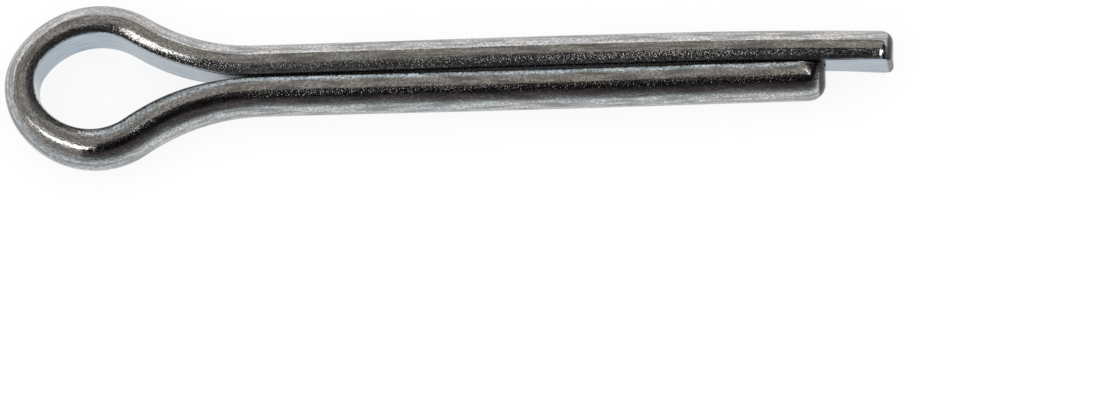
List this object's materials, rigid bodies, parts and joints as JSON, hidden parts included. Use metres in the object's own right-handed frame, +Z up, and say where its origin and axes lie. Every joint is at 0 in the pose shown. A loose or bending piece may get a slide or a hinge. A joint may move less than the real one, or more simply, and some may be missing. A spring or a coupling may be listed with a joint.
{
  "type": "cotter pin",
  "caption": "Extended-prong cotter pin: a half-round steel wire folded to an eye, with two legs that close to a split round shank, the short one sheared to a bevel.",
  "frame": {"origin": "on the shank's axis, in the plane where the eye seats on the rim of its hole", "axes": "+X along the shank from the eye to the tips, +Y from the short leg to the long leg, +Z up from the surface on which the pin lies"},
  "size_m": [0.0365, 0.0068, 0.003],
  "materials": {
    "zinc_plated_steel": "bright zinc plating over drawn half-round wire, with fine lengthwise die lines"
  },
  "bodies": {
    "root": {"cotter_pin": "zinc_plated_steel"}
  },
  "joints": []
}
